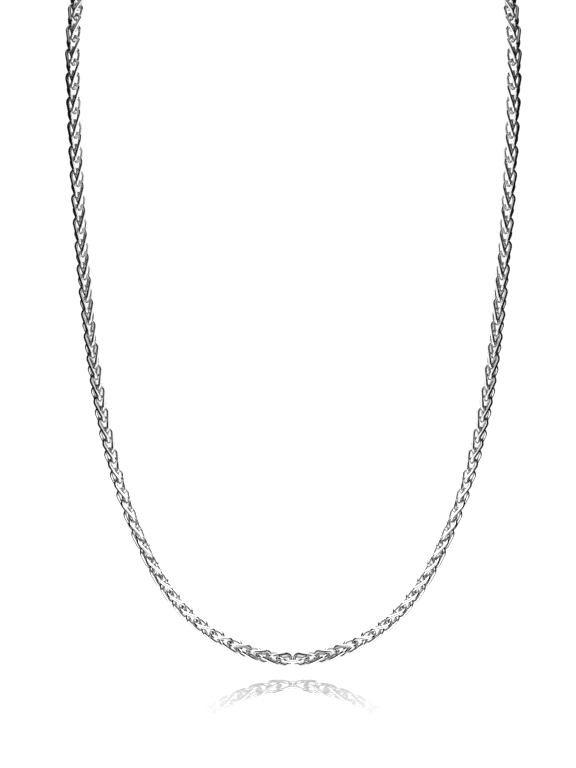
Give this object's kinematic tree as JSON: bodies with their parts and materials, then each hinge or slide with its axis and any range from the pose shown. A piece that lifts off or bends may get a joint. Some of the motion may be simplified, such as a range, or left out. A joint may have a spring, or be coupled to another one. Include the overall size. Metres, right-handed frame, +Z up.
{
  "type": "wheat chain necklace",
  "caption": "Wheat chain necklace: a closed loop of interlocked, twisted oval wire links that hangs as worn, with a plain barrel clasp at the nape.",
  "frame": {"origin": "middle of the clasp at the nape, on the chain's centre line, where the back of the neck carries the necklace", "axes": "+Z up, -Y to the wearer's front, where the chain hangs lowest, and +X to the right of a viewer who faces the front"},
  "size_m": [0.1086, 0.0841, 0.2009],
  "materials": {
    "silver": "polished silver wire",
    "clasp_silver": "polished silver, lightly worn"
  },
  "bodies": {
    "root": {"chain_left": "silver", "chain_right": "silver", "centre_link": "silver", "back_left": "silver", "back_right": "silver", "clasp": "clasp_silver"}
  },
  "joints": []
}
